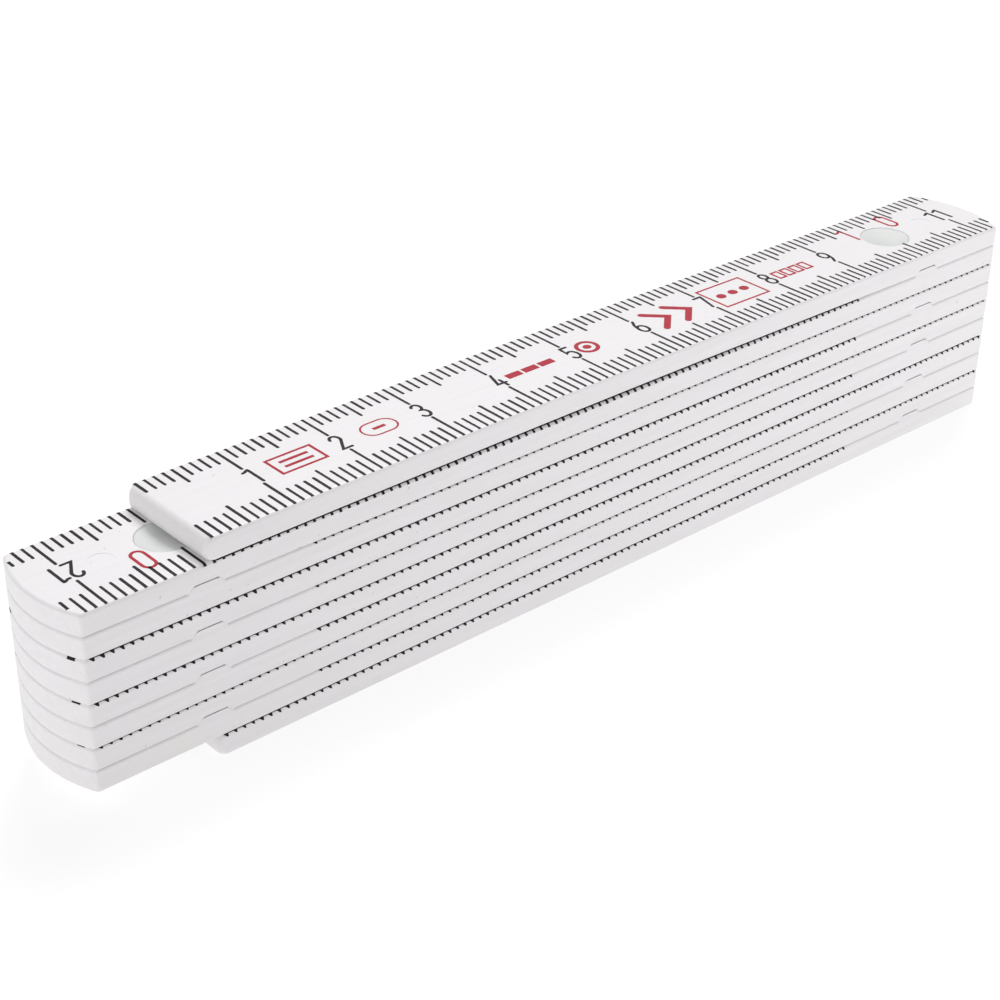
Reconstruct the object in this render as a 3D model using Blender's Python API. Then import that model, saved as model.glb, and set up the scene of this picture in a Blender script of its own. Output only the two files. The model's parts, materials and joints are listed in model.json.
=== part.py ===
"""A one-metre folding rule, folded up: ten moulded plastic segments in a stack,
joined end to end by nine sprung pivots.

The rule lies flat. X runs along it, Y across its width and Z up through the stack.
The origin is under the middle of the stack, on the surface that the rule lies on.
Segment 1, which starts the scale, is on top, and segment 10 is at the bottom.
Pivot n joins segment n to segment n + 1. Odd pivots are at the +X end, even ones at -X.
"""

import math

import bmesh
import bpy
from mathutils import Matrix

MM = 0.001

# The rule
SEGMENT_COUNT = 10
PIVOT_SPACING = 100.0 * MM
WIDTH = 13.0 * MM
LAYER_PITCH = 2.35 * MM
LAYER_GAP = 0.20 * MM

# One segment
THICKNESS = LAYER_PITCH - LAYER_GAP
END_RADIUS = 1.1 * WIDTH
EDGE_CHAMFER = 0.3 * MM
FREE_CORNER_RADIUS = 1.0 * MM

# The round boss on top of a segment turns in a round recess under the next one up.
# Both are a little wider than the segment, so they show in its sides as a shallow step.
BOSS_HEIGHT = 0.50 * MM
BOSS_FOOT_RADIUS = math.hypot(WIDTH / 2, 1.75 * MM)
BOSS_TOP_RADIUS = math.hypot(WIDTH / 2, 1.20 * MM)
BOSS_CLEARANCE = 0.15 * MM
BOSS_INSET = 0.02 * MM

# The holes on a pivot's axis
BORE_RADIUS = 1.35 * MM
DISH_RADIUS = 2.80 * MM
DISH_DEPTH = 0.65 * MM
POCKET_RADIUS = 3.60 * MM
POCKET_DEPTH = 1.30 * MM

# The pivot's pieces. Heights are above the underside of the lower segment.
RUNNING_GAP = 0.07 * MM
SHANK_RADIUS = 1.25 * MM
HEAD_RADIUS = 2.70 * MM
HEAD_SINK = 0.30 * MM
FOOT_HEIGHT = 0.15 * MM
FOOT_CHAMFER = 0.10 * MM
GROOVE_RADIUS = 0.95 * MM
GROOVE_BOTTOM = 0.40 * MM
GROOVE_TOP = 0.80 * MM
RING_OUTER_RADIUS = 2.30 * MM
RING_OPENING = math.radians(50)
WASHER_OUTER_RADIUS = 3.20 * MM
WASHER_INNER_RADIUS = 1.45 * MM
WASHER_THICKNESS = 0.22 * MM

# How finely round shapes are divided
END_ARC_STEPS = 8
CORNER_ARC_STEPS = 3
BOSS_SIDES = 36
HOLE_SIDES = 24
PIN_SIDES = 16
RING_ARC_STEPS = 12
SMOOTH_BELOW = math.radians(35)


def clear_scene():
    for old in list(bpy.data.objects):
        bpy.data.objects.remove(old, do_unlink=True)


def plain_material(name, color, roughness, metallic=0.0):
    material = bpy.data.materials.new(name)
    material.use_nodes = True
    shader = material.node_tree.nodes["Principled BSDF"]
    shader.inputs["Base Color"].default_value = (*color, 1.0)
    shader.inputs["Roughness"].default_value = roughness
    shader.inputs["Metallic"].default_value = metallic
    return material


def mesh_from(bm, name):
    bmesh.ops.recalc_face_normals(bm, faces=bm.faces)
    mesh = bpy.data.meshes.new(name)
    bm.to_mesh(mesh)
    bm.free()
    mesh.shade_smooth()
    mesh.set_sharp_from_angle(angle=SMOOTH_BELOW)
    return mesh


def place(name, mesh, material=None, location=(0.0, 0.0, 0.0), turn=0.0):
    piece = bpy.data.objects.new(name, mesh)
    piece.location = location
    piece.rotation_euler = (0.0, 0.0, turn)
    if material and not mesh.materials:
        mesh.materials.append(material)
    bpy.context.scene.collection.objects.link(piece)
    return piece


def arc(center, radius, start, end, steps):
    """Points along an arc, with both its ends."""
    points = []
    for step in range(steps + 1):
        angle = start + (end - start) * step / steps
        points.append((center[0] + radius * math.cos(angle), center[1] + radius * math.sin(angle)))
    return points


def prism(outline, bottom, top):
    """A closed solid with this outline, between two heights."""
    bm = bmesh.new()
    floor = bm.faces.new([bm.verts.new((x, y, bottom)) for x, y in outline])
    lifted = bmesh.ops.extrude_face_region(bm, geom=[floor])
    top_verts = [item for item in lifted["geom"] if isinstance(item, bmesh.types.BMVert)]
    bmesh.ops.translate(bm, verts=top_verts, vec=(0.0, 0.0, top - bottom))
    return bm


def turned(profile, sides):
    """A solid turned about Z from a closed profile of (radius, height) points."""
    bm = bmesh.new()
    rings = []
    for radius, height in profile:
        if radius == 0.0:
            rings.append([bm.verts.new((0.0, 0.0, height))] * sides)
            continue
        ring = []
        for side in range(sides):
            angle = 2 * math.pi * side / sides
            ring.append(bm.verts.new((radius * math.cos(angle), radius * math.sin(angle), height)))
        rings.append(ring)
    for inner, outer in zip(rings, rings[1:] + rings[:1]):
        for side in range(sides):
            after = (side + 1) % sides
            corners = dict.fromkeys([inner[side], outer[side], outer[after], inner[after]])
            if len(corners) > 2:
                bm.faces.new(corners)
    return bm


def frustum(x, bottom, bottom_radius, top, top_radius, sides):
    """A round cutter or boss that stands on the pivot axis at x."""
    bm = bmesh.new()
    bmesh.ops.create_cone(
        bm,
        cap_ends=True,
        segments=sides,
        radius1=bottom_radius,
        radius2=top_radius,
        depth=top - bottom,
        matrix=Matrix.Translation((x, 0.0, (bottom + top) / 2)),
    )
    return bm


def boss_radius(height):
    """The boss tapers from its foot, at the segment's top face, to its own top."""
    taper = (BOSS_FOOT_RADIUS - BOSS_TOP_RADIUS) / BOSS_HEIGHT
    return BOSS_FOOT_RADIUS - taper * (height - THICKNESS)


def boss(x):
    """The boss with its two sides cut flush with the segment's sides."""
    root = THICKNESS / 2
    top = THICKNESS + BOSS_HEIGHT
    bm = frustum(x, root, boss_radius(root), top, boss_radius(top), BOSS_SIDES)
    for side in (-1, 1):
        cut = bmesh.ops.bisect_plane(
            bm,
            geom=bm.verts[:] + bm.edges[:] + bm.faces[:],
            plane_co=(0.0, side * (WIDTH / 2 - BOSS_INSET), 0.0),
            plane_no=(0.0, side, 0.0),
            clear_outer=True,
        )
        rim = [item for item in cut["geom_cut"] if isinstance(item, bmesh.types.BMEdge)]
        bmesh.ops.contextual_create(bm, geom=rim)
    return bm


def recess():
    """The boss's shape, a little larger, as it cuts into the underside of the segment above."""
    below = -BOSS_HEIGHT
    foot = boss_radius(THICKNESS + below) + BOSS_CLEARANCE
    return frustum(0.0, below, foot, BOSS_HEIGHT, BOSS_TOP_RADIUS + BOSS_CLEARANCE, BOSS_SIDES)


def bore(x):
    return frustum(x, -THICKNESS, BORE_RADIUS, 3 * THICKNESS, BORE_RADIUS, HOLE_SIDES)


def dish():
    """The round hollow in the top face that takes the pin's head."""
    return frustum(0.0, THICKNESS - DISH_DEPTH, DISH_RADIUS, 3 * THICKNESS, DISH_RADIUS, HOLE_SIDES)


def pocket():
    """The round hollow in the underside that takes the spring washer and the ring."""
    return frustum(-PIVOT_SPACING, -THICKNESS, POCKET_RADIUS, POCKET_DEPTH, POCKET_RADIUS, HOLE_SIDES)


def round_end(pivot_x, facing):
    """The convex end of a segment: an arc about its pivot, from side to side."""
    half = math.asin(WIDTH / 2 / END_RADIUS)
    return arc((pivot_x, 0.0), END_RADIUS, facing - half, facing + half, END_ARC_STEPS)


def free_end():
    """The square end of the first and last segment, with small round corners."""
    inset_x = -PIVOT_SPACING + FREE_CORNER_RADIUS
    inset_y = WIDTH / 2 - FREE_CORNER_RADIUS
    right = math.pi / 2
    corner = FREE_CORNER_RADIUS
    upper = arc((inset_x, inset_y), corner, right, 2 * right, CORNER_ARC_STEPS)
    lower = arc((inset_x, -inset_y), corner, 2 * right, 3 * right, CORNER_ARC_STEPS)
    return upper + lower


def segment_mesh(name, has_upper_pivot, has_lower_pivot):
    """A segment in its own frame, with one pivot at x = 0 and one at -PIVOT_SPACING.

    At an upper pivot, x = 0, it lies on the next segment. At a lower pivot, x = -PIVOT_SPACING,
    it carries the one before. Without one of them, that place has no boss, hole or recess.
    """
    # The last segment has only its lower pivot, so its round end and its free end change places.
    mirrored = not has_upper_pivot
    far_end = round_end(-PIVOT_SPACING, math.pi) if has_lower_pivot and has_upper_pivot else free_end()
    outline = round_end(0.0, 0.0) + far_end
    if mirrored:
        outline = [(-PIVOT_SPACING - x, y) for x, y in reversed(outline)]

    body = place(name + "_blank", mesh_from(prism(outline, 0.0, THICKNESS), name + "_blank"))
    edges = body.modifiers.new("edges", "BEVEL")
    edges.width = EDGE_CHAMFER
    edges.segments = 1
    edges.limit_method = "ANGLE"
    edges.angle_limit = math.radians(50)

    steps = []
    if has_lower_pivot:
        steps += [("boss", boss(-PIVOT_SPACING), "UNION")]
        steps += [("pocket", pocket(), "DIFFERENCE"), ("lower_bore", bore(-PIVOT_SPACING), "DIFFERENCE")]
    if has_upper_pivot:
        steps += [("recess", recess(), "DIFFERENCE")]
        steps += [("dish", dish(), "DIFFERENCE"), ("upper_bore", bore(0.0), "DIFFERENCE")]
    cutters = []
    for step_name, shape, operation in steps:
        cutter = place(name + "_" + step_name, mesh_from(shape, name + "_" + step_name))
        cutter.hide_render = True
        cutter.display_type = "WIRE"
        modifier = body.modifiers.new(step_name, "BOOLEAN")
        modifier.operation = operation
        modifier.solver = "EXACT"
        modifier.object = cutter
        cutters.append(cutter)

    depsgraph = bpy.context.evaluated_depsgraph_get()
    mesh = bpy.data.meshes.new_from_object(body.evaluated_get(depsgraph), depsgraph=depsgraph)
    mesh.name = name
    for helper in [body] + cutters:
        bpy.data.objects.remove(helper, do_unlink=True)
    return mesh


def pin_mesh():
    """The headed pin: its head lies in the dish and its shank runs down through both segments."""
    head_top = LAYER_PITCH + THICKNESS - HEAD_SINK
    head_bottom = LAYER_PITCH + THICKNESS - DISH_DEPTH + RUNNING_GAP
    profile = [
        (0.0, head_top),
        (HEAD_RADIUS, head_top),
        (HEAD_RADIUS, head_bottom),
        (SHANK_RADIUS, head_bottom),
        (SHANK_RADIUS, GROOVE_TOP),
        (GROOVE_RADIUS, GROOVE_TOP),
        (GROOVE_RADIUS, GROOVE_BOTTOM),
        (SHANK_RADIUS, GROOVE_BOTTOM),
        (SHANK_RADIUS, FOOT_HEIGHT + FOOT_CHAMFER),
        (SHANK_RADIUS - FOOT_CHAMFER, FOOT_HEIGHT),
        (0.0, FOOT_HEIGHT),
    ]
    return mesh_from(turned(profile, PIN_SIDES), "pivot_pin")


def washer_mesh():
    """The conical spring washer: its rim bears on the pocket's floor, its eye on the ring."""
    eye = GROOVE_TOP
    rim = POCKET_DEPTH - RUNNING_GAP - WASHER_THICKNESS
    profile = [
        (WASHER_INNER_RADIUS, eye),
        (WASHER_OUTER_RADIUS, rim),
        (WASHER_OUTER_RADIUS, rim + WASHER_THICKNESS),
        (WASHER_INNER_RADIUS, eye + WASHER_THICKNESS),
    ]
    return mesh_from(turned(profile, HOLE_SIDES), "spring_washer")


def ring_mesh():
    """The open ring that snaps into the pin's groove and holds the washer up."""
    start = RING_OPENING / 2
    end = 2 * math.pi - start
    outer = arc((0.0, 0.0), RING_OUTER_RADIUS, start, end, RING_ARC_STEPS)
    inner = arc((0.0, 0.0), GROOVE_RADIUS + RUNNING_GAP, end, start, RING_ARC_STEPS)
    ring = prism(outer + inner, GROOVE_BOTTOM + RUNNING_GAP, GROOVE_TOP - RUNNING_GAP)
    return mesh_from(ring, "retaining_ring")


def pivot_x(pivot):
    """Odd pivots are at the +X end of the stack and even ones at the -X end."""
    return PIVOT_SPACING / 2 if pivot % 2 else -PIVOT_SPACING / 2


def underside(segment):
    return (SEGMENT_COUNT - segment) * LAYER_PITCH


def add_segments(material):
    first = segment_mesh("first_segment", has_upper_pivot=True, has_lower_pivot=False)
    middle = segment_mesh("middle_segment", has_upper_pivot=True, has_lower_pivot=True)
    last = segment_mesh("last_segment", has_upper_pivot=False, has_lower_pivot=True)
    for number in range(1, SEGMENT_COUNT + 1):
        mesh = middle
        if number == 1:
            mesh = first
        if number == SEGMENT_COUNT:
            mesh = last
        turn = 0.0 if number % 2 else math.pi
        place(f"segment_{number:02d}", mesh, material, (pivot_x(number), 0.0, underside(number)), turn)


def add_pivots(pin_material, steel):
    pin = pin_mesh()
    washer = washer_mesh()
    ring = ring_mesh()
    for pivot in range(1, SEGMENT_COUNT):
        axis = (pivot_x(pivot), 0.0, underside(pivot + 1))
        place(f"pivot_pin_{pivot}", pin, pin_material, axis)
        place(f"spring_washer_{pivot}", washer, steel, axis)
        place(f"retaining_ring_{pivot}", ring, steel, axis)


def main():
    clear_scene()
    add_segments(plain_material("white_plastic", (0.88, 0.87, 0.87), 0.45))
    add_pivots(
        plain_material("grey_plastic", (0.62, 0.66, 0.64), 0.25),
        plain_material("spring_steel", (0.45, 0.45, 0.47), 0.35, metallic=1.0),
    )


main()
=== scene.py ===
"""The looks of the folding rule: finely moulded white plastic segments with their printed scale,
and the pins, spring washers and rings of the pivots, in a plain pale studio."""

import json
import math
import random

import bmesh
import bpy
from mathutils import Matrix, Vector


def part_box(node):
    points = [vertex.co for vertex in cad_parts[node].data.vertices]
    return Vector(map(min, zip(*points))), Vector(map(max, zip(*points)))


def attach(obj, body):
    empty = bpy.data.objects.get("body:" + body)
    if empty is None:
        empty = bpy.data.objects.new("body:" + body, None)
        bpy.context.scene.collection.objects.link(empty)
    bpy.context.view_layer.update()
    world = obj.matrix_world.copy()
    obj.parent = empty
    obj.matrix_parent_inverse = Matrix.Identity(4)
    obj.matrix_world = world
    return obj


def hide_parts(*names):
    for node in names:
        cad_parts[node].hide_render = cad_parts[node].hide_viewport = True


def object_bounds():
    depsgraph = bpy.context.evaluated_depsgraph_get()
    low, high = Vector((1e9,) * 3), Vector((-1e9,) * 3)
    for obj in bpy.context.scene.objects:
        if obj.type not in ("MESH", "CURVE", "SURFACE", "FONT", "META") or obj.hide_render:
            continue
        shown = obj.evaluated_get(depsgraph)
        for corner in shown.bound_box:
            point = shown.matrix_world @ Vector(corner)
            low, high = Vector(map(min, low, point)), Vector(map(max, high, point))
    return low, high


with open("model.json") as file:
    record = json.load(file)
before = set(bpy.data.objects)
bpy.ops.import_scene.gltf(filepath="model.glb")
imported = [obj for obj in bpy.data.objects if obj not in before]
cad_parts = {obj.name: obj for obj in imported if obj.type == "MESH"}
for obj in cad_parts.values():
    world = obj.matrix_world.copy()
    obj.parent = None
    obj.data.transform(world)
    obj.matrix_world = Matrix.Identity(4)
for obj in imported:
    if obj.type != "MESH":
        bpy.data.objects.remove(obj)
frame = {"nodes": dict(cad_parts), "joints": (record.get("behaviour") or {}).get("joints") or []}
cad_low, cad_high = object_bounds()

# The frame gives the rule's own sizes
SEGMENT_COUNT = sum(1 for node in frame["nodes"] if node.startswith("segment_"))
PIVOTS = {joint["name"]: Vector(joint["pos_m"]) for joint in frame["joints"]}
SPACING = PIVOTS["fold_01_02"].x - PIVOTS["fold_02_03"].x
SCALE_LENGTH = 100
MM = SPACING / SCALE_LENGTH
FIRST_LOW, FIRST_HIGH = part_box("segment_01")
LAST_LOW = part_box(f"segment_{SEGMENT_COUNT:02d}")[0]
WIDTH = FIRST_HIGH.y - FIRST_LOW.y
PITCH = (FIRST_LOW.z - LAST_LOW.z) / (SEGMENT_COUNT - 1)
END_RADIUS = FIRST_HIGH.x - PIVOTS["fold_01_02"].x

# A segment's fine shape
SEAM = 0.05 * MM
THICKNESS = PITCH - SEAM
TOP_ROUND = 0.36 * MM
BOTTOM_ROUND = 0.08 * MM
CORNER_ROUND = 0.40 * MM
BOSS_HEIGHT = 0.46 * MM
BOSS_GAP = 0.06 * MM
BOSS_SOFTNESS = 0.06 * MM
BOSS_INSET = 0.01 * MM
RECESS_HEIGHT = 0.56 * MM
RECESS_FOOT_RADIUS = math.hypot(WIDTH / 2, 1.90 * MM)
RECESS_TOP_RADIUS = math.hypot(WIDTH / 2, 1.25 * MM)
RECESS_TAPER = (RECESS_FOOT_RADIUS - RECESS_TOP_RADIUS) / RECESS_HEIGHT
BORE_RADIUS = 1.30 * MM
DISH_RADIUS = 2.80 * MM
DISH_DEPTH = 0.75 * MM
DISH_LIP = 0.16 * MM
POCKET_RADIUS = 3.60 * MM
POCKET_DEPTH = 1.30 * MM
MOULD_MARK_RADIUS = 1.25 * MM
MOULD_MARK_DEPTH = 0.03 * MM
MOULD_MARK_X = 6.6 * MM

# The square free ends of the first and last segment have a soft nose, elliptic above and below
FREE_END_INSET = 0.12 * MM
FREE_CORNER_ROUND = 0.75 * MM
NOSE_TOP_DEPTH = 0.85 * MM
NOSE_TOP_HEIGHT = 1.40 * MM
NOSE_TOP_STEPS = (1.0, 0.8, 0.6, 0.4)
NOSE_BOTTOM_DEPTH = 0.40 * MM
NOSE_BOTTOM_HEIGHT = 0.80 * MM
NOSE_BOTTOM_STEPS = (0.25, 0.45, 0.7, 1.0)

# The first segment springs clear of the second one between its pivot and its free end
BOW_HEIGHT = 0.30 * MM
BOW_STEPS = 24

# The printed scale, in graduations of a millimetre
INK_PROUD = 0.012 * MM
INK_SUNK = 0.020 * MM
SHARPEST_TURN = 0.55
TIP_STEPS = (0.5, 0.87, 0.98)
TICK_WIDTH = 0.31 * MM
TICK_UNEVENNESS = 0.08
TICK_LENGTHS = {"short": 2.55 * MM, "medium": 3.5 * MM, "long": 4.7 * MM}
FIRST_PRINTED = 12
LAST_PRINTED = 13
PRINT_SHIFT = 0.22 * MM
DIGIT_HEIGHT = 3.0 * MM
DIGIT_WIDTH = 1.4 * MM
DIGIT_STROKE = 0.33 * MM
DIGIT_ADVANCE = 1.45 * MM
TENS_HEIGHT = 3.5 * MM
TENS_RISE = 2.60 * MM
TENS_SHIFT = 0.35 * MM
TENS_X = (-3.3 * MM, 3.7 * MM)

# For each segment, in millimetres: how far its ticks run on over the rounded edge, and how wide the
# dark line is that joins their ends. That line is ink run together and painted shade: it darkens the
# crevice under the segment above, and on the second segment the gap under the first one's bow
EDGE_REACH = (0.20, 0.45, 0.40, 0.60, 0.43, 0.53, 0.58, 0.42, 0.50, 0.57)
EDGE_INK_AND_SHADE = (0.0, 0.18, 0.02, 0.09, 0.03, 0.06, 0.08, 0.03, 0.05, 0.08)
EDGE_INK_AND_SHADE_PLACE = 0.24 * MM
OPEN_EDGE_REACH = 0.20 * MM
# The second segment's line stops this far inside the first one's free end
COVER_START = 1.2 * MM
# On a covered round end a tick's last part is laid in strips and reaches a little less far
EDGE_REACH_LOST_AT_END = 0.12 * MM
END_STRIPS = 4
# From the third segment down, a tick widens over the edge, narrows to its tip and leans along the scale
EDGE_WIDEST = 0.45
EDGE_SPREAD = 0.5
EDGE_TIP = 0.5
EDGE_LEAN = 0.5
EDGE_STEPS = (0.25, EDGE_WIDEST, 0.65, 0.85, 1.0)

# The pivots: heights are above the underside of the lower of the two segments
SHANK_RADIUS = 1.25 * MM
GROOVE_RADIUS = 0.95 * MM
GROOVE_LOW = 0.40 * MM
GROOVE_HIGH = 0.80 * MM
PIN_FOOT = 0.15 * MM
PIN_SOFTNESS = 0.04 * MM
PIN_CENTRE = 0.02 * MM
HEAD_RADIUS = 2.785 * MM
HEAD_SINK = 0.10 * MM
HEAD_HOLLOW = 0.24 * MM
HEAD_STEPS = 8
WASHER_INNER_RADIUS = 1.45 * MM
WASHER_RADIUS = 3.20 * MM
WASHER_THICKNESS = 0.22 * MM
RING_RADIUS = 2.30 * MM
RING_HALF_OPENING = math.radians(25)
FIT = 0.04 * MM

# Meshes and the print's small unevenness
ROUND_SIDES = 96
SMOOTH_BELOW = math.radians(32)
RANDOM_SEED = 11
UP = Vector((0.0, 0.0, 1.0))
FLOOR_SIZE = 6.0


# ---------------------------------------------------------------- mesh helpers


def finished_mesh(bm, name):
    """The bmesh as a mesh of its own, smooth but for its sharp edges."""
    bmesh.ops.recalc_face_normals(bm, faces=bm.faces)
    mesh = bpy.data.meshes.new(name)
    bm.to_mesh(mesh)
    bm.free()
    mesh.shade_smooth()
    mesh.set_sharp_from_angle(angle=SMOOTH_BELOW)
    return mesh


def add_object(name, mesh, material=None):
    piece = bpy.data.objects.new(name, mesh)
    bpy.context.scene.collection.objects.link(piece)
    if material and not mesh.materials:
        mesh.materials.append(material)
    return piece


def arc(center, radius, start, end, steps):
    points = []
    for step in range(steps + 1):
        angle = start + (end - start) * step / steps
        points.append((center[0] + radius * math.cos(angle), center[1] + radius * math.sin(angle)))
    return points


def loft(rings):
    """A closed solid through a stack of rings with the same number of points, capped at both ends."""
    bm = bmesh.new()
    levels = [[bm.verts.new(point) for point in ring] for ring in rings]
    count = len(levels[0])
    for lower, upper in zip(levels, levels[1:]):
        for index in range(count):
            after = (index + 1) % count
            bm.faces.new((lower[index], lower[after], upper[after], upper[index]))
    bm.faces.new(list(reversed(levels[0])))
    bm.faces.new(levels[-1])
    return bm


def turned(profile, sides):
    """A solid turned about Z, from (radius, height) points that run from bottom to top."""
    rings = []
    for radius, height in profile:
        ring = arc((0.0, 0.0), radius, 0.0, 2 * math.pi, sides)[:-1]
        rings.append([(x, y, height) for x, y in ring])
    return loft(rings)


def cut_with(body, name, shape, x, operation):
    """Adds or cuts a shape that stands on the pivot axis at x."""
    bmesh.ops.translate(shape, verts=shape.verts, vec=(x, 0.0, 0.0))
    cutter = add_object(body.name + "_" + name, finished_mesh(shape, body.name + "_" + name))
    modifier = body.modifiers.new(name, "BOOLEAN")
    modifier.operation = operation
    modifier.solver = "EXACT"
    modifier.object = cutter
    return cutter


# ---------------------------------------------------------------- the plastic segments


def round_end(inset):
    """A segment's convex end about a pivot at the origin, facing +X, with rounded corners."""
    corner_y = WIDTH / 2 - CORNER_ROUND
    corner_x = math.sqrt((END_RADIUS - CORNER_ROUND) ** 2 - corner_y**2)
    meet = math.atan2(corner_y, corner_x)
    right = math.pi / 2
    lower = arc((corner_x, -corner_y), CORNER_ROUND - inset, -right, -meet, 4)
    face = arc((0.0, 0.0), END_RADIUS - inset, -meet, meet, 28)
    upper = arc((corner_x, corner_y), CORNER_ROUND - inset, meet, right, 4)
    return lower[:-1] + face + upper[1:]


def free_end(inset):
    """The square end of the first and last segment, facing +X, just short of a pivot at the origin."""
    center_x = -FREE_CORNER_ROUND - FREE_END_INSET
    center_y = WIDTH / 2 - FREE_CORNER_ROUND
    right = math.pi / 2
    lower = arc((center_x, -center_y), FREE_CORNER_ROUND - inset, -right, 0.0, 8)
    upper = arc((center_x, center_y), FREE_CORNER_ROUND - inset, 0.0, right, 8)
    return lower + upper


def set_back(height):
    """How far the nose of a free end is set back at a height, by its elliptic rounds below and above."""
    depth = NOSE_BOTTOM_DEPTH
    share = 1 - height / NOSE_BOTTOM_HEIGHT
    if share < 0:
        depth = NOSE_TOP_DEPTH
        share = max(1 - (THICKNESS - height) / NOSE_TOP_HEIGHT, 0.0)
    return depth * (1 - math.sqrt(max(1 - share**2, 0.0)))


def end_outline(end, inset, height):
    """An end's outline at a height. A free end's nose takes the place of the side's inset along X."""
    if end is free_end:
        return [(x + inset - set_back(height), y) for x, y in free_end(inset)]
    return end(inset)


def segment_outline(inset, height, near_end, far_end):
    """The outline of a segment whose upper pivot is at x = 0 and whose lower one is at -SPACING."""
    near = end_outline(near_end, inset, height)
    far = [(-SPACING - x, -y) for x, y in end_outline(far_end, inset, height)]
    return near + far


def segment_profile(has_nose):
    """(inset, height) up a segment's side: a tight round below, a soft one above, and a nose's steps."""
    top = THICKNESS - TOP_ROUND
    profile = arc((BOTTOM_ROUND, BOTTOM_ROUND), BOTTOM_ROUND, -math.pi / 2, -math.pi, 3)
    if has_nose:
        profile += [(0.0, NOSE_BOTTOM_HEIGHT * share) for share in NOSE_BOTTOM_STEPS]
        profile += [(0.0, THICKNESS - NOSE_TOP_HEIGHT * share) for share in NOSE_TOP_STEPS]
    return profile + arc((TOP_ROUND, top), TOP_ROUND, math.pi, math.pi / 2, 6)


def boss():
    """The round boss on a segment's top face, cut flush with the segment's sides."""
    foot_radius = RECESS_FOOT_RADIUS - BOSS_GAP
    root = THICKNESS / 2
    top = THICKNESS + BOSS_HEIGHT
    root_radius = foot_radius + RECESS_TAPER * (THICKNESS - root)
    top_radius = foot_radius - RECESS_TAPER * BOSS_HEIGHT
    shoulder = (top_radius + RECESS_TAPER * BOSS_SOFTNESS, top - BOSS_SOFTNESS)
    profile = [(root_radius, root), shoulder, (top_radius - BOSS_SOFTNESS, top)]
    bm = turned(profile, ROUND_SIDES)
    for side in (-1, 1):
        cut = bmesh.ops.bisect_plane(
            bm,
            geom=bm.verts[:] + bm.edges[:] + bm.faces[:],
            plane_co=(0.0, side * (WIDTH / 2 - BOSS_INSET), 0.0),
            plane_no=(0.0, side, 0.0),
            clear_outer=True,
        )
        rim = [item for item in cut["geom_cut"] if isinstance(item, bmesh.types.BMEdge)]
        bmesh.ops.contextual_create(bm, geom=rim)
    return bm


def recess():
    """The hollow for the boss of the segment below, with a little room round it."""
    below = RECESS_FOOT_RADIUS + RECESS_TAPER * THICKNESS
    return turned([(below, -THICKNESS), (RECESS_TOP_RADIUS, RECESS_HEIGHT)], ROUND_SIDES)


def dish():
    """The hollow for the pin's head, with a softly rounded lip."""
    floor = THICKNESS - DISH_DEPTH
    lip_center = (DISH_RADIUS + DISH_LIP, THICKNESS - DISH_LIP)
    profile = [(DISH_RADIUS - DISH_LIP, floor), (DISH_RADIUS, floor + DISH_LIP)]
    profile += arc(lip_center, DISH_LIP, math.pi, math.pi / 2, 4)
    profile.append((DISH_RADIUS + DISH_LIP, THICKNESS * 2))
    return turned(profile, ROUND_SIDES)


def pocket():
    """The hollow on the underside for the spring washer and the ring."""
    return turned([(POCKET_RADIUS, -THICKNESS), (POCKET_RADIUS, POCKET_DEPTH)], ROUND_SIDES)


def bore():
    return turned([(BORE_RADIUS, -THICKNESS), (BORE_RADIUS, 3 * THICKNESS)], ROUND_SIDES // 2)


def mould_mark():
    """A shallow round mark beyond the dish."""
    floor = THICKNESS - MOULD_MARK_DEPTH
    top = THICKNESS * 2
    return turned([(MOULD_MARK_RADIUS, floor), (MOULD_MARK_RADIUS, top)], ROUND_SIDES // 2)


def segment_mesh(name, near_end, far_end):
    """One segment, with a dish and a recess at its near end and a boss and a pocket at its far end."""
    rings = []
    for inset, height in segment_profile(has_nose=free_end in (near_end, far_end)):
        outline = segment_outline(inset, height, near_end, far_end)
        rings.append([(x, y, height) for x, y in outline])
    body = add_object(name, finished_mesh(loft(rings), name))
    cutters = []
    if far_end is round_end:
        cutters.append(cut_with(body, "boss", boss(), -SPACING, "UNION"))
        cutters.append(cut_with(body, "pocket", pocket(), -SPACING, "DIFFERENCE"))
        cutters.append(cut_with(body, "lower_bore", bore(), -SPACING, "DIFFERENCE"))
    if near_end is round_end:
        cutters.append(cut_with(body, "recess", recess(), 0.0, "DIFFERENCE"))
        cutters.append(cut_with(body, "dish", dish(), 0.0, "DIFFERENCE"))
        cutters.append(cut_with(body, "upper_bore", bore(), 0.0, "DIFFERENCE"))
        cutters.append(cut_with(body, "mould_mark", mould_mark(), MOULD_MARK_X, "DIFFERENCE"))
    depsgraph = bpy.context.evaluated_depsgraph_get()
    mesh = bpy.data.meshes.new_from_object(body.evaluated_get(depsgraph), depsgraph=depsgraph)
    mesh.set_sharp_from_angle(angle=SMOOTH_BELOW)
    for helper in [body] + cutters:
        bpy.data.objects.remove(helper, do_unlink=True)
    return mesh


def bow(x):
    """How far the first segment is sprung up at x, in its own frame."""
    start = -DISH_RADIUS
    share = min(max((start - x) / (SPACING + start), 0.0), 1.0)
    return BOW_HEIGHT * math.sin(math.pi * share)


def bend(bm):
    """Bends the first segment, or its print, along the bow."""
    for vert in bm.verts:
        vert.co.z += bow(vert.co.x)


def bent_segment(mesh):
    """The segment's mesh cut across into short lengths, then bent."""
    bm = bmesh.new()
    bm.from_mesh(mesh)
    for step in range(1, BOW_STEPS):
        bmesh.ops.bisect_plane(
            bm,
            geom=bm.verts[:] + bm.edges[:] + bm.faces[:],
            plane_co=(-SPACING * step / BOW_STEPS, 0.0, 0.0),
            plane_no=(1.0, 0.0, 0.0),
        )
    bend(bm)
    bm.to_mesh(mesh)
    bm.free()
    return mesh


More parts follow.
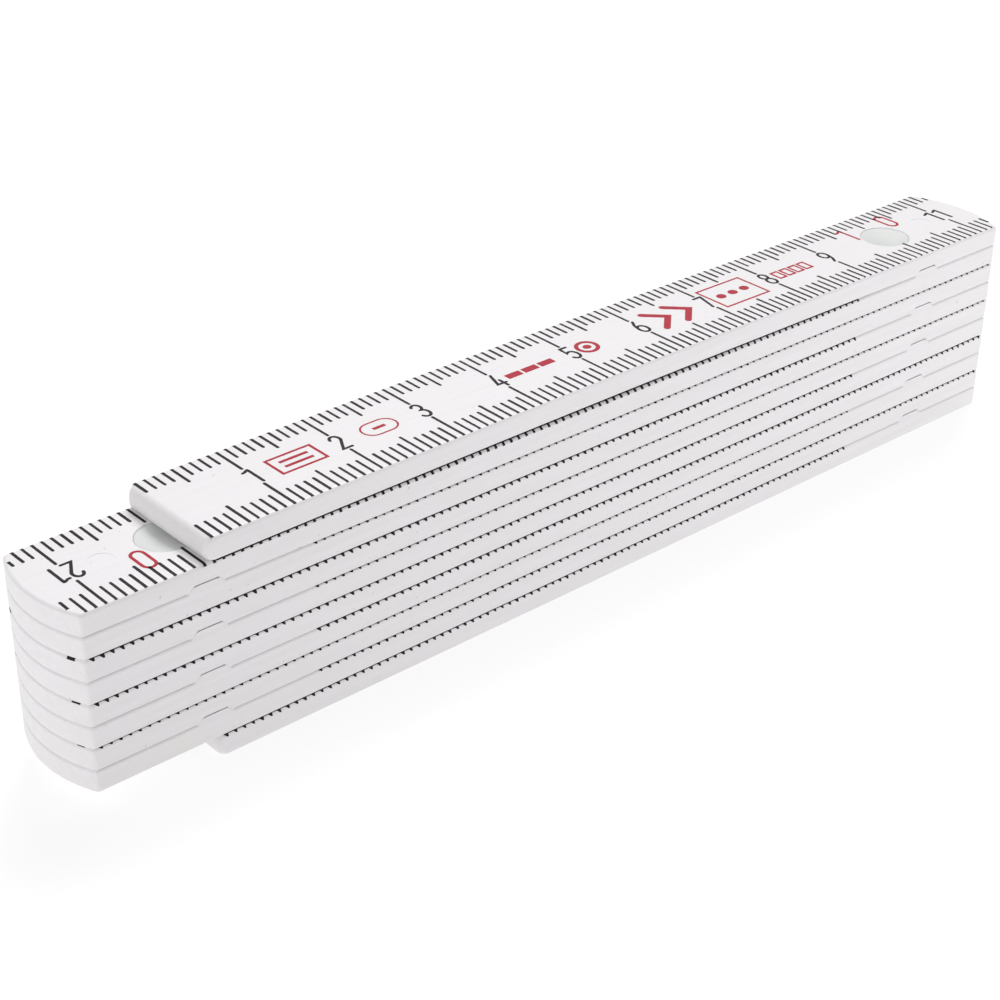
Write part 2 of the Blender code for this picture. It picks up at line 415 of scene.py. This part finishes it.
def segment_place(number):
    """From a segment's own frame to the rule's: odd segments point one way and even ones the other."""
    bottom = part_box(f"segment_{number:02d}")[0].z
    if number % 2:
        return Matrix.Translation((PIVOTS["fold_01_02"].x, 0.0, bottom))
    return Matrix.Translation((PIVOTS["fold_02_03"].x, 0.0, bottom)) @ Matrix.Rotation(math.pi, 4, "Z")


def ride_in_place(piece, number):
    """Puts a piece made in a segment's own frame on that segment, to move with it."""
    piece.matrix_world = segment_place(number)
    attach(piece, f"segment_{number:02d}")


def add_segments(plastic):
    """The ten segments. The eight between the first and the last share one mesh."""
    first = bent_segment(segment_mesh("first_segment", round_end, free_end))
    middle = segment_mesh("middle_segment", round_end, round_end)
    last = segment_mesh("last_segment", free_end, round_end)
    for mesh in (first, middle, last):
        mesh.materials.append(plastic)
    for number in range(1, SEGMENT_COUNT + 1):
        mesh = middle
        if number == 1:
            mesh = first
        if number == SEGMENT_COUNT:
            mesh = last
        piece = add_object(f"plastic_segment_{number:02d}", mesh)
        flat = piece.modifiers.new("flat_faces", "WEIGHTED_NORMAL")
        flat.keep_sharp = True
        ride_in_place(piece, number)
        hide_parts(f"segment_{number:02d}")


# ---------------------------------------------------------------- the print


class Print:
    """A sheet of printed lines. Each line is a thin closed ribbon that lies on the plastic."""

    def __init__(self):
        self.bm = bmesh.new()

    def add_line(self, stations, closed=False, width_along=None):
        """stations are (point, normal, half width) along the line, wide square to it or as told."""
        count = len(stations)
        sections = []
        for index, (point, normal, half) in enumerate(stations):
            before = stations[index - 1][0] if index or closed else point
            after = stations[(index + 1) % count][0] if index < count - 1 or closed else point
            arriving = (point - before).normalized()
            leaving = (after - point).normalized()
            along = (arriving + leaving).normalized()
            turn = max(arriving.dot(along), leaving.dot(along), SHARPEST_TURN)
            across = normal.cross(along).normalized() * (half / turn)
            if width_along:
                across = width_along * half
            top = point + normal * INK_PROUD
            low = point - normal * INK_SUNK
            corners = (top + across, top - across, low - across, low + across)
            sections.append([self.bm.verts.new(corner) for corner in corners])
        pairs = list(zip(sections, sections[1:]))
        if closed:
            pairs.append((sections[-1], sections[0]))
        for one, two in pairs:
            for side in range(4):
                after = (side + 1) % 4
                self.bm.faces.new((one[side], one[after], two[after], two[side]))
        if not closed:
            self.bm.faces.new(sections[0])
            self.bm.faces.new(list(reversed(sections[-1])))

    def mesh(self, name):
        return finished_mesh(self.bm, name)


def round_tip(point, away, normal, half):
    """Extra stations that round a line's end off, ending furthest away."""
    stations = []
    for share in TIP_STEPS:
        width = half * math.sqrt(1 - share * share)
        stations.append((point + away * (half * share), normal, width))
    return stations


def flat_line(sheet, points, stroke, closed=False):
    """A line on the flat top face, through (x, y) points."""
    half = stroke / 2
    path = [Vector((x, y, THICKNESS)) for x, y in points]
    stations = [(point, UP, half) for point in path]
    if not closed:
        start = round_tip(path[0], (path[0] - path[1]).normalized(), UP, half)
        end = round_tip(path[-1], (path[-1] - path[-2]).normalized(), UP, half)
        stations = list(reversed(start)) + stations + end
    sheet.add_line(stations, closed)


def edge_of_top(x, side):
    """Where the flat top face ends, at this x, and the way its rounded edge faces."""
    radius = END_RADIUS - TOP_ROUND
    straight = WIDTH / 2 - TOP_ROUND
    if x > math.sqrt(radius**2 - straight**2):
        y = side * math.sqrt(radius**2 - x**2)
        return Vector((x, y, THICKNESS)), Vector((x, y, 0.0)).normalized()
    return Vector((x, side * straight, THICKNESS)), Vector((0.0, side, 0.0))


def over_edge(edge, outward, distance):
    """The point and the way the surface faces, this far past the flat top: round the edge, then down."""
    if distance < 0:
        return edge + outward * distance, UP
    quarter = TOP_ROUND * math.pi / 2
    angle = min(distance, quarter) / TOP_ROUND
    drop = TOP_ROUND * (1 - math.cos(angle)) + max(distance - quarter, 0.0)
    point = edge + outward * (TOP_ROUND * math.sin(angle)) - UP * drop
    return point, outward * math.sin(angle) + UP * math.cos(angle)


def covered_width(share):
    """How wide a tick is under a segment, this share of the way from the flat top to its tip."""
    if share <= EDGE_WIDEST:
        return 1 + EDGE_SPREAD * share / EDGE_WIDEST
    return EDGE_TIP + (1 + EDGE_SPREAD - EDGE_TIP) * (1 - share) / (1 - EDGE_WIDEST)


def tick(sheet, x, side, length, shift, reach, half, covered):
    """One graduation: from its inner tip to the edge and on over the rounded edge."""
    inner = Vector((x, side * (WIDTH / 2 - length) + shift, THICKNESS))
    edge, outward = edge_of_top(x, side)
    stations = list(reversed(round_tip(inner, Vector((0.0, -side, 0.0)), UP, half)))
    stations += [(inner, UP, half), (edge, UP, half)]
    if abs(outward.x) > 0:
        sheet.add_line(stations)
        if covered:
            slanting_end(sheet, x, side, reach - EDGE_REACH_LOST_AT_END, half)
        return
    for share in EDGE_STEPS:
        point, facing = over_edge(edge, outward, reach * share)
        width = 1.0
        if covered:
            width = covered_width(share)
            point.x -= side * EDGE_LEAN * reach * max(share - EDGE_WIDEST, 0.0)
        stations.append((point, facing, half * width))
    sheet.add_line(stations, width_along=Vector((1.0, 0.0, 0.0)))


def slanting_end(sheet, x, side, reach, half):
    """The last part of a tick that crosses a segment's round end at a slant, in strips along the edge."""
    strip = reach / END_STRIPS
    for index in range(END_STRIPS):
        stations = []
        for share in (-1.0, -0.5, 0.0, 0.5, 1.0):
            edge, outward = edge_of_top(x + share * half, side)
            point, facing = over_edge(edge, outward, strip * (index + 0.5))
            stations.append((point, facing, strip / 2))
        sheet.add_line(stations)


def ink_and_shade_line(sheet, number, start, end, side, width):
    """Ink run together along the rounded edge, just in front of the segment above. Its dark band is
    partly painted shade of the crevice and the gap below that segment.
    """
    edge, outward = edge_of_top(0.0, side)
    stations = []
    for step in range(BOW_STEPS + 1):
        x = start + (end - start) * step / BOW_STEPS
        lift = bow(-SPACING - x) if number == 2 else 0.0
        point, facing = over_edge(edge, outward, EDGE_INK_AND_SHADE_PLACE - lift)
        stations.append((Vector((x, point.y, point.z)), facing, width / 2))
    sheet.add_line(stations)


def add_ticks(sheet, number, first, last, chance):
    """A segment's graduations on both edges, each of a slightly different width and reach."""
    shift = PRINT_SHIFT if number % 2 else -PRINT_SHIFT
    reach = EDGE_REACH[number - 1] * MM
    for graduation in range(first, last + 1):
        x = (graduation - SCALE_LENGTH * number) * MM
        length = TICK_LENGTHS["short"]
        if graduation % 5 == 0:
            length = TICK_LENGTHS["medium"]
        if graduation % 10 == 0 and graduation % SCALE_LENGTH:
            length = TICK_LENGTHS["long"]
        for side in (-1, 1):
            half = TICK_WIDTH / 2 * chance.uniform(1 - TICK_UNEVENNESS, 1 + TICK_UNEVENNESS)
            run_on = reach * chance.uniform(1 - TICK_UNEVENNESS, 1 + TICK_UNEVENNESS)
            if number == 2 and x > 0:
                run_on = OPEN_EDGE_REACH
            tick(sheet, x, side, length, shift, run_on, half, covered=number > 2)


def add_ink_and_shade_lines(sheet, number, first, last):
    """The dark line that joins the ends of a segment's ticks, on both edges, where it shows: ink and
    painted shade of the crevice under the segment above.
    """
    width = EDGE_INK_AND_SHADE[number - 1] * MM
    start = (first - SCALE_LENGTH * number) * MM
    end = (min(last, SCALE_LENGTH * number + LAST_PRINTED - 1) - SCALE_LENGTH * number) * MM
    if number == 2:
        end = -COVER_START
    if width > 0:
        for side in (-1, 1):
            ink_and_shade_line(sheet, number, start, end, side, width)


def digit_lines(digit):
    """A digit's strokes in a box that reaches from -1 to 1 both ways: (points, closed) for each."""
    full = 2 * math.pi
    right = math.pi / 2

    def oval(y, width, height, start=0.0, end=full, steps=18):
        turn = arc((0.0, 0.0), 1.0, start, end, steps)
        return [(across * width, y + up * height) for across, up in turn]

    if digit == "0":
        top = oval(0.55, 1.0, 0.45, 0.0, 2 * right, 10)
        bottom = oval(-0.55, 1.0, 0.45, 2 * right, full, 10)
        return [(top + bottom, True)]
    if digit == "1":
        flag = [(-0.85, 0.76), (-0.35, 0.80), (0.05, 0.90), (0.32, 0.97), (0.46, 0.96), (0.5, 0.88)]
        return [(flag + [(0.5, -1.0)], False)]
    if digit == "2":
        hook = oval(0.5, 0.95, 0.5, math.radians(170), math.radians(-25), 12)
        return [(hook + [(-0.95, -1.0), (1.0, -1.0)], False)]
    if digit == "3":
        upper = oval(0.53, 0.88, 0.47, math.radians(155), -right, 12)
        lower = oval(-0.47, 1.0, 0.53, right, math.radians(-155), 12)
        return [(upper + lower[1:], False)]
    if digit == "4":
        return [([(0.25, 1.0), (-1.0, -0.5), (1.0, -0.5)], False), ([(0.45, 0.05), (0.45, -1.0)], False)]
    if digit == "5":
        bowl = oval(-0.38, 1.0, 0.62, math.radians(128), math.radians(-150), 14)
        return [([(0.85, 1.0), (-0.7, 1.0), (-0.8, 0.08)] + bowl[1:], False)]
    if digit == "6":
        bowl = oval(-0.42, 1.0, 0.58)
        return [(bowl[:-1], True), ([(-0.98, -0.35), (-0.55, 0.4), (0.35, 1.0)], False)]
    if digit == "7":
        return [([(-1.0, 1.0), (0.95, 1.0), (-0.35, -1.0)], False)]
    if digit == "8":
        return [(oval(0.53, 0.85, 0.47)[:-1], True), (oval(-0.47, 1.0, 0.53)[:-1], True)]
    flipped = []
    for points, closed in digit_lines("6"):
        flipped.append(([(-x, -y) for x, y in points], closed))
    return flipped


def add_digit(sheet, digit, center, height, stroke):
    reach_x = (DIGIT_WIDTH * height / DIGIT_HEIGHT - stroke) / 2
    reach_y = (height - stroke) / 2
    for points, closed in digit_lines(digit):
        placed = [(center[0] + x * reach_x, center[1] + y * reach_y) for x, y in points]
        flat_line(sheet, placed, stroke, closed)


def add_numbers(black, red, number, first, last):
    """The centimetre numbers. Whole tens are red, with their digits either side of the pivot."""
    shift = PRINT_SHIFT if number % 2 else -PRINT_SHIFT
    for graduation in range(first, last + 1):
        if graduation % 10:
            continue
        digits = str(graduation // 10)
        x = (graduation - SCALE_LENGTH * number) * MM
        if graduation % SCALE_LENGTH == 0:
            rise = TENS_RISE + math.copysign(TENS_SHIFT, shift)
            for digit, offset in zip(digits, TENS_X):
                add_digit(red, digit, (x + offset, rise), TENS_HEIGHT, DIGIT_STROKE)
            continue
        start = x - DIGIT_ADVANCE * (len(digits) - 1) / 2
        for index, digit in enumerate(digits):
            center = (start + index * DIGIT_ADVANCE, shift)
            add_digit(black, digit, center, DIGIT_HEIGHT, DIGIT_STROKE)


def scale_x(millimetres):
    """A place along the first segment, from the start of its scale."""
    return millimetres * MM - SPACING


def frame_line(sheet, left, right, half_height, stroke):
    low = PRINT_SHIFT - half_height
    high = PRINT_SHIFT + half_height
    flat_line(sheet, [(left, low), (right, low), (right, high), (left, high)], stroke, closed=True)


def bar(sheet, left, right, height, rise=0.0):
    """A solid printed bar with square ends."""
    sheet.add_line([(Vector((x, PRINT_SHIFT + rise, THICKNESS)), UP, height / 2) for x in (left, right)])


def dot(sheet, x, size):
    """A very short line, whose round tips make it a dot."""
    reach = 0.05 * MM
    flat_line(sheet, [(x - reach, PRINT_SHIFT), (x + reach, PRINT_SHIFT)], size)


def framed_bars(red):
    left = scale_x(12.4)
    right = scale_x(17.5)
    margin = 0.9 * MM
    frame_line(red, left, right, half_height=1.5 * MM, stroke=0.30 * MM)
    for rise in (-0.5 * MM, 0.5 * MM):
        bar(red, left + margin, right - margin, height=0.4 * MM, rise=rise)


def capsule_with_bar(red):
    radius = 1.25 * MM
    left = scale_x(22.8) + radius
    right = scale_x(26.8) - radius
    quarter = math.pi / 2
    outline = arc((left, PRINT_SHIFT), radius, quarter, 3 * quarter, 10)
    outline += arc((right, PRINT_SHIFT), radius, -quarter, quarter, 10)
    flat_line(red, outline, stroke=0.20 * MM, closed=True)
    bar(red, left, right, height=0.45 * MM)


def row_of_bars(red):
    length = 1.9 * MM
    for start in (41.2, 43.4, 45.6):
        bar(red, scale_x(start), scale_x(start) + length, height=0.95 * MM)


def ring_with_dot(red):
    x = scale_x(52.3)
    circle = arc((x, PRINT_SHIFT), 1.15 * MM, 0.0, 2 * math.pi, 24)[:-1]
    flat_line(red, circle, stroke=0.45 * MM, closed=True)
    dot(red, x, size=0.9 * MM)


def arrow_heads(red):
    back = 2.1 * MM
    half_height = 2.0 * MM
    for tip in (scale_x(64.2), scale_x(67.4)):
        upper = (tip - back, PRINT_SHIFT + half_height)
        lower = (tip - back, PRINT_SHIFT - half_height)
        flat_line(red, [upper, (tip, PRINT_SHIFT), lower], stroke=0.75 * MM)


def framed_dots(red):
    frame_line(red, scale_x(71.0), scale_x(77.6), half_height=2.4 * MM, stroke=0.26 * MM)
    for x in (72.5, 74.3, 76.1):
        dot(red, scale_x(x), size=1.1 * MM)


def open_squares(red):
    size = 0.95 * MM
    spacing = 1.45 * MM
    for index in range(4):
        left = scale_x(81.3) + spacing * index
        frame_line(red, left, left + size, half_height=0.8 * MM, stroke=0.28 * MM)


def add_accents(red):
    """Plain red marks beside the numbers of the first segment."""
    framed_bars(red)
    capsule_with_bar(red)
    row_of_bars(red)
    ring_with_dot(red)
    arrow_heads(red)
    framed_dots(red)
    open_squares(red)


def add_print(black_ink, red_ink):
    """Each segment's scale. Its graduations are counted from the start of the whole rule."""
    chance = random.Random(RANDOM_SEED)
    for number in range(1, SEGMENT_COUNT + 1):
        first = 1 if number == 1 else SCALE_LENGTH * (number - 1) + FIRST_PRINTED
        last = SCALE_LENGTH * number + LAST_PRINTED
        if number == SEGMENT_COUNT:
            last = SCALE_LENGTH * number - 1
        black = Print()
        red = Print()
        add_ticks(black, number, first, last, chance)
        # Dark lines along the edges: ink, and painted shade of the crevices between segments
        add_ink_and_shade_lines(black, number, first, last)
        add_numbers(black, red, number, first, last)
        if number == 1:
            add_accents(red)
            bend(black.bm)
            bend(red.bm)
        scale = add_object(f"printed_scale_{number:02d}", black.mesh("scale"), black_ink)
        ride_in_place(scale, number)
        if number < SEGMENT_COUNT:
            tens = add_object(f"red_print_{number:02d}", red.mesh("red_print"), red_ink)
            ride_in_place(tens, number)
        else:
            red.bm.free()


# ---------------------------------------------------------------- the pivots


def pin_mesh():
    """The headed pin: a dished face and a soft rim on its head, and a groove near its foot."""
    top = PITCH + THICKNESS - HEAD_SINK
    seat = PITCH + THICKNESS - DISH_DEPTH + FIT
    soft = PIN_SOFTNESS
    profile = [(PIN_CENTRE, PIN_FOOT), (SHANK_RADIUS - soft, PIN_FOOT), (SHANK_RADIUS, PIN_FOOT + soft)]
    profile += [(SHANK_RADIUS, GROOVE_LOW), (GROOVE_RADIUS, GROOVE_LOW)]
    profile += [(GROOVE_RADIUS, GROOVE_HIGH), (SHANK_RADIUS, GROOVE_HIGH)]
    profile += [(SHANK_RADIUS, seat), (HEAD_RADIUS - soft, seat), (HEAD_RADIUS, seat + soft)]
    profile += arc((HEAD_RADIUS - soft, top - soft), soft, 0.0, math.pi / 2, 5)
    for step in range(1, HEAD_STEPS + 1):
        share = 1 - step / HEAD_STEPS
        radius = max((HEAD_RADIUS - 2 * soft) * share, PIN_CENTRE)
        profile.append((radius, top - HEAD_HOLLOW * (1 - share**2)))
    return finished_mesh(turned(profile, ROUND_SIDES), "pin")


def washer_mesh():
    """The conical spring washer: its rim bears up on the pocket's floor and its eye down on the ring."""
    rim = POCKET_DEPTH - FIT - WASHER_THICKNESS
    profile = [(WASHER_INNER_RADIUS, GROOVE_HIGH), (WASHER_RADIUS, rim)]
    profile += [(radius, height + WASHER_THICKNESS) for radius, height in reversed(profile)]
    bm = bmesh.new()
    levels = []
    for radius, height in profile:
        ring = arc((0.0, 0.0), radius, 0.0, 2 * math.pi, ROUND_SIDES)[:-1]
        levels.append([bm.verts.new((x, y, height)) for x, y in ring])
    for one, two in zip(levels, levels[1:] + levels[:1]):
        for index in range(ROUND_SIDES):
            after = (index + 1) % ROUND_SIDES
            bm.faces.new((one[index], one[after], two[after], two[index]))
    return finished_mesh(bm, "washer")


def ring_mesh():
    """The open retaining ring in the pin's groove."""
    start = RING_HALF_OPENING
    end = 2 * math.pi - RING_HALF_OPENING
    outline = arc((0.0, 0.0), RING_RADIUS, start, end, 48)
    outline += arc((0.0, 0.0), GROOVE_RADIUS + FIT, end, start, 36)
    levels = []
    for height in (GROOVE_LOW + FIT, GROOVE_HIGH - FIT):
        levels.append([(x, y, height) for x, y in outline])
    return finished_mesh(loft(levels), "ring")


def add_pivots(pin_plastic, steel):
    """The pieces of each pivot, standing in for the CAD's and turning with the upper segment."""
    meshes = {
        "pivot_pin": (pin_mesh(), "turned_pin", "pin_plastic", pin_plastic),
        "spring_washer": (washer_mesh(), "sprung_washer", "spring_steel", steel),
        "retaining_ring": (ring_mesh(), "snap_ring", "spring_steel", steel),
    }
    for pivot in range(1, SEGMENT_COUNT):
        axis = PIVOTS[f"fold_{pivot:02d}_{pivot + 1:02d}"]
        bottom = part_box(f"segment_{pivot + 1:02d}")[0].z
        for node, (mesh, name, slot, material) in meshes.items():
            piece = add_object(f"{name}_{pivot}", mesh, material)
            piece.location = (axis.x, axis.y, bottom)
            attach(piece, f"segment_{pivot:02d}")
            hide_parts(f"{node}_{pivot}")


# ---------------------------------------------------------------- materials


class Nodes:
    """A material's node tree, with short calls for adding and joining nodes."""

    def __init__(self, name):
        self.material = bpy.data.materials.new(name)
        self.material.use_nodes = True
        self.tree = self.material.node_tree
        self.shader = self.tree.nodes["Principled BSDF"]

    def add(self, kind, **settings):
        node = self.tree.nodes.new(kind)
        for key, value in settings.items():
            setattr(node, key, value)
        return node

    def join(self, output, target):
        self.tree.links.new(output, target)

    def place_in_piece(self, stretch):
        """The piece's own coordinates in metres, shifted for each piece and stretched."""
        coordinates = self.add("ShaderNodeTexCoord")
        info = self.add("ShaderNodeObjectInfo")
        shift = self.add("ShaderNodeVectorMath", operation="ADD")
        scale = self.add("ShaderNodeVectorMath", operation="MULTIPLY")
        self.join(coordinates.outputs["Object"], shift.inputs[0])
        self.join(info.outputs["Random"], shift.inputs[1])
        self.join(shift.outputs[0], scale.inputs[0])
        scale.inputs[1].default_value = stretch
        return scale.outputs[0]

    def noise(self, where, scale, detail, roughness=0.55):
        node = self.add("ShaderNodeTexNoise")
        self.join(where, node.inputs["Vector"])
        node.inputs["Scale"].default_value = scale
        node.inputs["Detail"].default_value = detail
        node.inputs["Roughness"].default_value = roughness
        return node.outputs["Fac"]

    def ranged(self, value, taken, given):
        """Spreads the taken range of a value, (low, high), over the given one."""
        node = self.add("ShaderNodeMapRange")
        self.join(value, node.inputs["Value"])
        node.inputs["From Min"].default_value = taken[0]
        node.inputs["From Max"].default_value = taken[1]
        node.inputs["To Min"].default_value = given[0]
        node.inputs["To Max"].default_value = given[1]
        return node.outputs["Result"]

    def mixed(self, share, one, two):
        """A colour between two, each a colour or another node's output."""
        node = self.add("ShaderNodeMix", data_type="RGBA")
        self.join(share, node.inputs["Factor"])
        for socket, value in ((node.inputs["A"], one), (node.inputs["B"], two)):
            if isinstance(value, tuple):
                socket.default_value = (*value, 1.0)
            else:
                self.join(value, socket)
        return node.outputs["Result"]

    def bump(self, height, distance, strength):
        node = self.add("ShaderNodeBump")
        node.inputs["Distance"].default_value = distance
        node.inputs["Strength"].default_value = strength
        self.join(height, node.inputs["Height"])
        self.join(node.outputs["Normal"], self.shader.inputs["Normal"])


def white_plastic():
    """White plastic: fine grain, long faint flow streaks, warmer patches and a few dark specks."""
    clean = (0.872, 0.852, 0.874)
    dull = (0.832, 0.812, 0.828)
    warm = (0.85, 0.835, 0.80)
    dark = (0.35, 0.33, 0.33)
    nodes = Nodes("white_plastic")
    even = nodes.place_in_piece((1.0, 1.0, 1.0))
    along = nodes.place_in_piece((0.06, 1.0, 1.0))
    streaks = nodes.noise(along, 1400.0, detail=5.0)
    patches = nodes.noise(even, 180.0, detail=3.0)
    specks = nodes.noise(even, 1900.0, detail=2.0)
    grain = nodes.noise(even, 9000.0, detail=3.0)
    color = nodes.mixed(nodes.ranged(streaks, (0.35, 0.7), (0.0, 1.0)), clean, dull)
    color = nodes.mixed(nodes.ranged(patches, (0.4, 0.75), (0.0, 0.5)), color, warm)
    color = nodes.mixed(nodes.ranged(specks, (0.72, 0.79), (0.0, 0.45)), color, dark)
    nodes.join(color, nodes.shader.inputs["Base Color"])
    nodes.join(nodes.ranged(streaks, (0.3, 0.7), (0.36, 0.52)), nodes.shader.inputs["Roughness"])
    nodes.bump(grain, distance=0.01 * MM, strength=0.35)
    return nodes.material


def printed_ink(name, full, thin):
    """Ink with slightly uneven cover."""
    nodes = Nodes(name)
    even = nodes.place_in_piece((1.0, 1.0, 1.0))
    cover = nodes.noise(even, 2600.0, detail=5.0, roughness=0.65)
    color = nodes.mixed(nodes.ranged(cover, (0.45, 0.85), (0.0, 1.0)), full, thin)
    nodes.join(color, nodes.shader.inputs["Base Color"])
    nodes.join(nodes.ranged(cover, (0.3, 0.7), (0.48, 0.65)), nodes.shader.inputs["Roughness"])
    nodes.shader.inputs["Specular IOR Level"].default_value = 0.2
    nodes.bump(cover, distance=0.004 * MM, strength=0.3)
    return nodes.material


def grey_plastic():
    """The pins' pale grey-green, slightly glossy plastic."""
    green = (0.66, 0.69, 0.67)
    pale = (0.71, 0.72, 0.71)
    nodes = Nodes("grey_plastic")
    even = nodes.place_in_piece((1.0, 1.0, 1.0))
    swirl = nodes.noise(even, 420.0, detail=3.0)
    grain = nodes.noise(even, 5200.0, detail=3.0)
    color = nodes.mixed(nodes.ranged(swirl, (0.35, 0.65), (0.0, 1.0)), green, pale)
    nodes.join(color, nodes.shader.inputs["Base Color"])
    nodes.join(nodes.ranged(swirl, (0.3, 0.7), (0.42, 0.55)), nodes.shader.inputs["Roughness"])
    nodes.bump(grain, distance=0.006 * MM, strength=0.25)
    return nodes.material


def spring_steel():
    """Bare rolled spring steel with fine rolling marks and darker stains."""
    bright = (0.56, 0.56, 0.57)
    stained = (0.40, 0.37, 0.34)
    nodes = Nodes("spring_steel")
    along = nodes.place_in_piece((0.05, 1.0, 1.0))
    even = nodes.place_in_piece((1.0, 1.0, 1.0))
    marks = nodes.noise(along, 7000.0, detail=4.0)
    stain = nodes.noise(even, 700.0, detail=4.0)
    color = nodes.mixed(nodes.ranged(stain, (0.4, 0.75), (0.0, 1.0)), bright, stained)
    nodes.join(color, nodes.shader.inputs["Base Color"])
    nodes.join(nodes.ranged(marks, (0.3, 0.7), (0.22, 0.42)), nodes.shader.inputs["Roughness"])
    nodes.shader.inputs["Metallic"].default_value = 1.0
    nodes.bump(marks, distance=0.004 * MM, strength=0.3)
    return nodes.material


def floor_material():
    """A pale floor that glows a little, so that it stays white round the rule."""
    light = (0.24, 0.24, 0.24)
    dark = (0.23, 0.23, 0.23)
    nodes = Nodes("pale_floor")
    even = nodes.place_in_piece((1.0, 1.0, 1.0))
    clouds = nodes.noise(even, 3.0, detail=2.0)
    color = nodes.mixed(nodes.ranged(clouds, (0.3, 0.7), (0.0, 1.0)), light, dark)
    nodes.join(color, nodes.shader.inputs["Base Color"])
    nodes.shader.inputs["Emission Color"].default_value = (1.0, 1.0, 1.0, 1.0)
    nodes.shader.inputs["Emission Strength"].default_value = 0.8
    nodes.shader.inputs["Roughness"].default_value = 0.9
    return nodes.material


# ---------------------------------------------------------------- the studio


def add_camera():
    """The photograph's view: from the front left, about 30 degrees up."""
    data = bpy.data.cameras.new("camera")
    data.lens = 75.1
    data.sensor_width = 36.0
    data.clip_start = 0.01
    data.clip_end = 20.0
    camera = bpy.data.objects.new("camera", data)
    bpy.context.scene.collection.objects.link(camera)
    tilt, roll, heading = math.radians(60.27), math.radians(-0.59), math.radians(-41.21)
    camera.rotation_euler = (tilt, roll, heading)
    camera.location = Vector((-134.4, -140.7, 117.3)) * MM
    bpy.context.scene.camera = camera


def add_floor():
    half = FLOOR_SIZE / 2
    corners = [(-half, -half), (half, -half), (half, half), (-half, half)]
    bm = bmesh.new()
    bm.faces.new([bm.verts.new((x, y, 0.0)) for x, y in corners])
    floor = add_object("floor", finished_mesh(bm, "floor"), floor_material())


def add_light(name, place, size, power, aim):
    """A square soft light at a place, turned to its aim."""
    data = bpy.data.lights.new(name, "AREA")
    data.shape = "SQUARE"
    data.size = size
    data.energy = power
    light = bpy.data.objects.new(name, data)
    light.location = place
    light.rotation_euler = (aim - place).to_track_quat("-Z", "Y").to_euler()
    bpy.context.scene.collection.objects.link(light)


def add_studio():
    scene = bpy.context.scene
    world = bpy.data.worlds.new("studio")
    world.use_nodes = True
    background = world.node_tree.nodes["Background"]
    background.inputs["Color"].default_value = (1.0, 1.0, 1.0, 1.0)
    background.inputs["Strength"].default_value = 0.36
    scene.world = world
    scene.view_settings.view_transform = "Standard"
    middle = (cad_low + cad_high) / 2
    far_end = Vector((cad_high.x, 0.0, middle.z))
    add_light("key", middle + Vector((0.60, 0.50, 1.20)), size=0.70, power=14.6, aim=middle)
    add_light("left_fill", middle + Vector((-0.6, -0.05, 0.30)), size=0.40, power=1.1, aim=middle)
    add_light("front_fill", far_end + Vector((0.02, -0.16, 0.01)), size=0.05, power=0.064, aim=far_end)
    add_floor()


add_camera()
add_studio()
add_segments(white_plastic())
add_print(
    printed_ink("black_ink", full=(0.014, 0.012, 0.015), thin=(0.035, 0.032, 0.036)),
    printed_ink("red_ink", full=(0.44, 0.020, 0.045), thin=(0.52, 0.06, 0.085)),
)
add_pivots(grey_plastic(), spring_steel())
